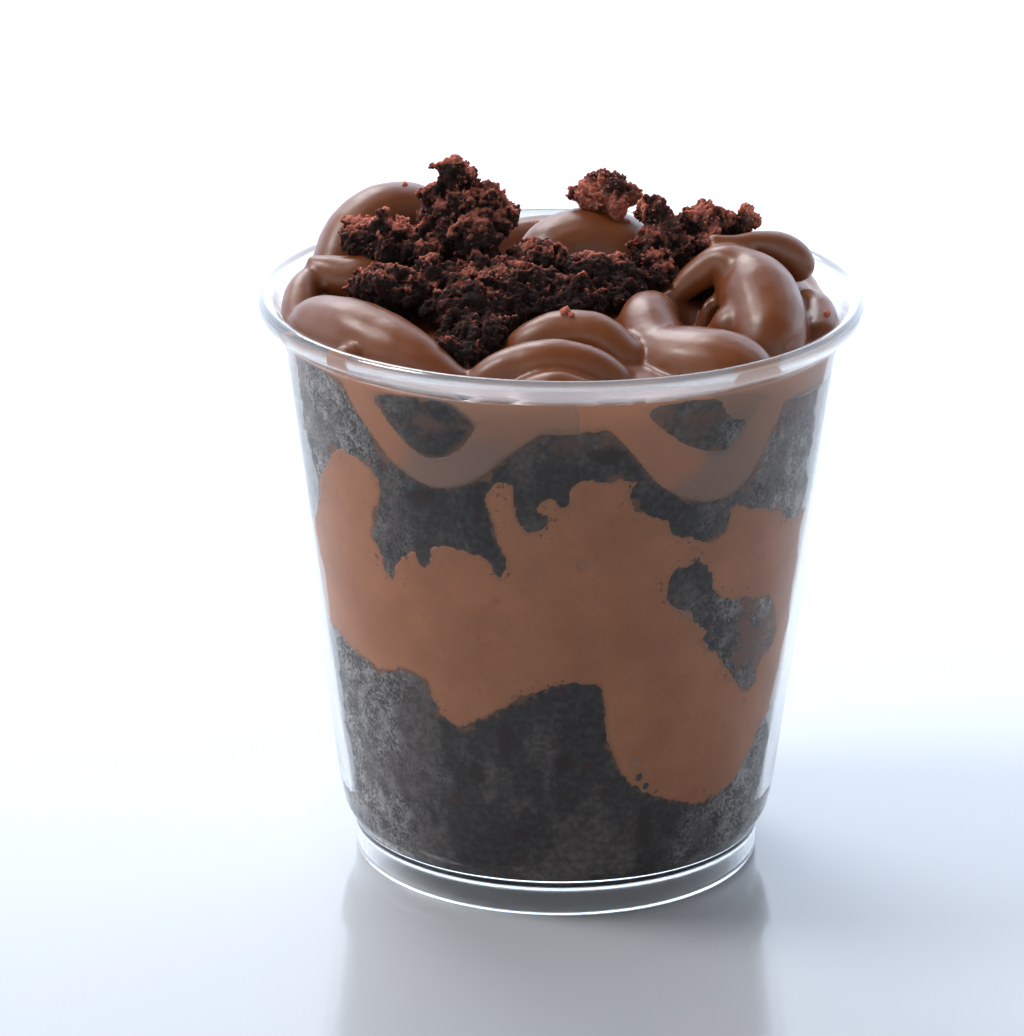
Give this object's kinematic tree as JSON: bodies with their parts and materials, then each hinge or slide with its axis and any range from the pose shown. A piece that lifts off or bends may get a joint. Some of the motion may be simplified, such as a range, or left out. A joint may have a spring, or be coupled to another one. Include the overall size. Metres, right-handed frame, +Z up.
{
  "type": "chocolate cake jar",
  "caption": "Clear plastic dessert cup filled with layers of dark chocolate cake and chocolate mousse, topped with piped chocolate frosting and crumbled cake.",
  "frame": {"origin": "Middle of the foot ring, on the surface the cup stands on.", "axes": "+Z up through the middle of the cup, -Y the side that faces the viewer in the picture, +X to the right of that viewer."},
  "size_m": [0.0762, 0.0762, 0.0909],
  "materials": {
    "clear_plastic": "clear polished plastic",
    "dark_cake": "open dark crumb",
    "mousse": "smooth satin mousse",
    "frosting": "smooth satin frosting",
    "cake_crumble": "coarse dry crumb"
  },
  "bodies": {
    "root": {"cup": "clear_plastic", "cake_base": "dark_cake", "mousse_layer": "mousse", "cake_chunk": "dark_cake", "cake_upper": "dark_cake", "frosting": "frosting", "crumble_heap": "cake_crumble", "crumble_right": "cake_crumble", "crumble_back": "cake_crumble"}
  },
  "joints": []
}
